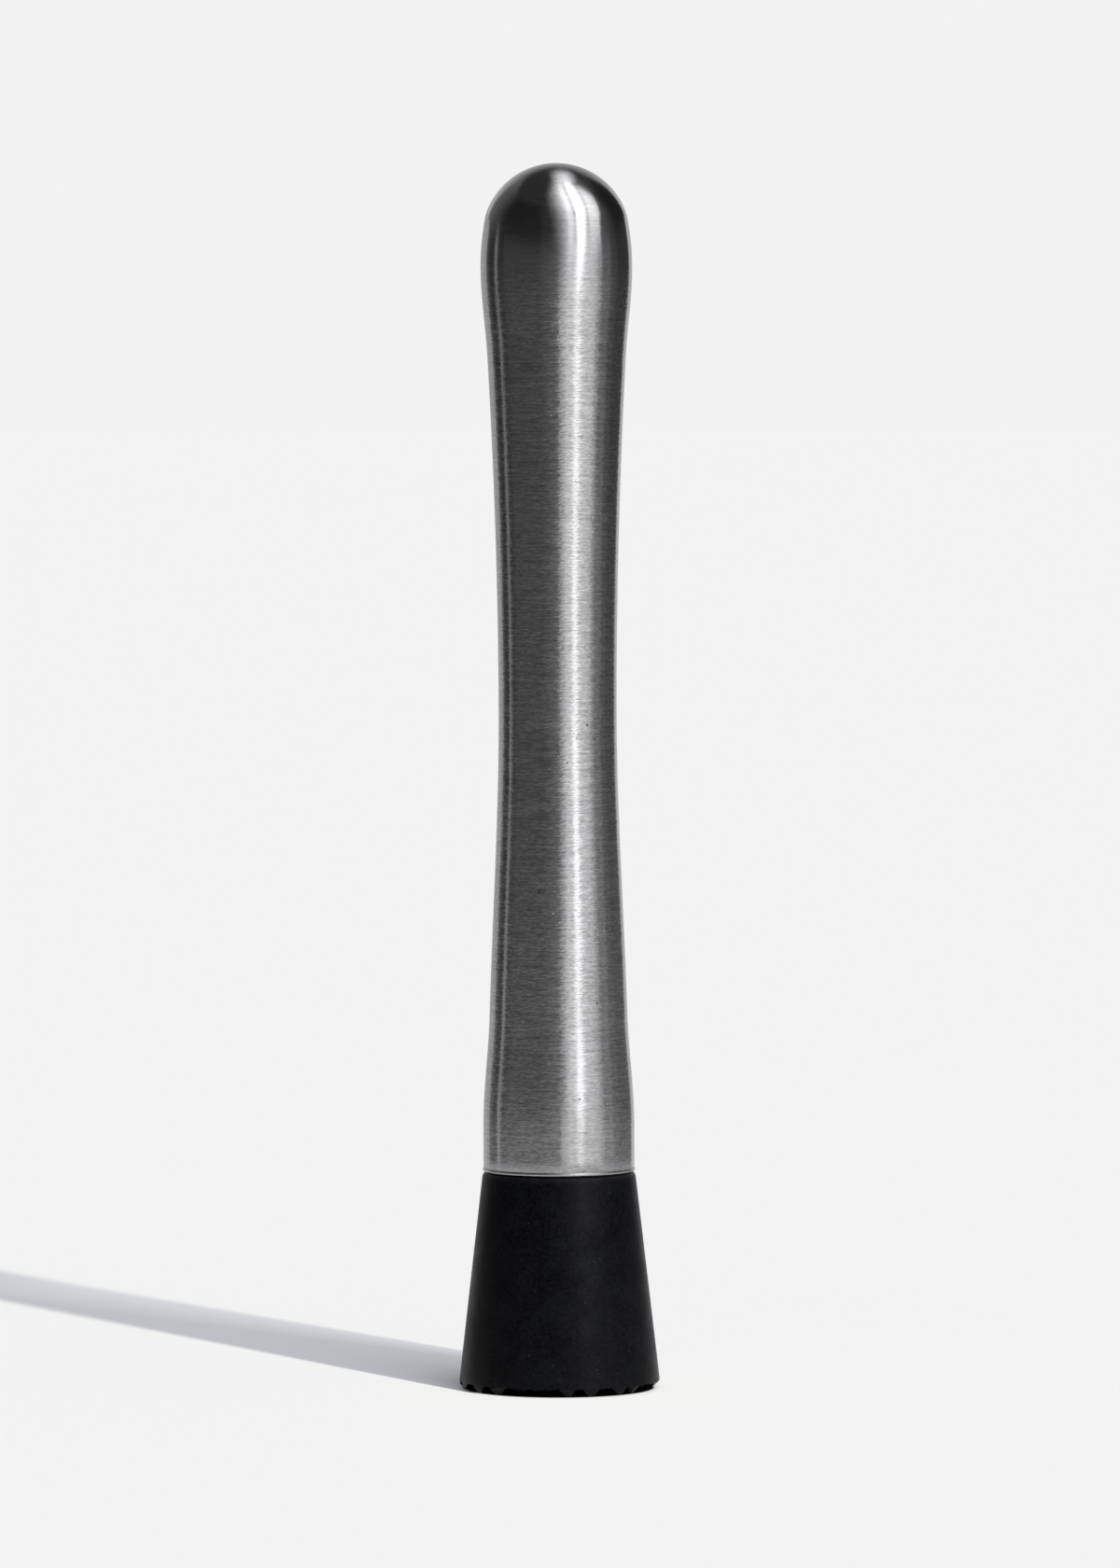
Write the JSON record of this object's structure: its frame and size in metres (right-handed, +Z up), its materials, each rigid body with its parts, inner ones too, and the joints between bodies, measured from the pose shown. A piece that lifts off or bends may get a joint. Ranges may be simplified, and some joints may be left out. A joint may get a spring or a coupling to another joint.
{
  "type": "cocktail muddler",
  "caption": "Hand muddler for drinks: a waisted hollow steel handle with a domed top, and a toothed black nylon cone that screws onto a stud in its foot.",
  "frame": {"origin": "middle of the plane that the head's teeth stand on", "axes": "+Z up the handle's axis to the dome; X and Y along the two sets of grooves between the teeth"},
  "size_m": [0.0376, 0.0376, 0.229],
  "materials": {
    "handle_steel": "stainless steel, brushed round the handle",
    "plug_steel": "stainless steel, fine turned",
    "stud_steel": "stainless steel, rolled thread",
    "seal_silicone": "black silicone, moulded matt",
    "insert_brass": "brass, turned",
    "head_nylon": "black nylon, moulded matt"
  },
  "bodies": {
    "handle": {"handle_shell": "handle_steel", "end_plug": "plug_steel", "threaded_stud": "stud_steel"},
    "seal": {"seal_ring": "seal_silicone"},
    "head": {"muddling_head": "head_nylon", "threaded_insert": "insert_brass"}
  },
  "joints": [
    {"name": "head_travel", "type": "slide", "parent": "handle", "child": "seal", "axis": [0, 0, -1], "range_m": [0, 0.009]},
    {"name": "head_turn", "type": "hinge", "parent": "seal", "child": "head", "pos_m": [0, 0, 0.03535], "axis": [0, 0, -1], "range_deg": [0, 2160]}
  ],
  "couplings": [
    {"joint": "head_travel", "follows": "head_turn", "m_per_rad": 0.00023873}
  ]
}
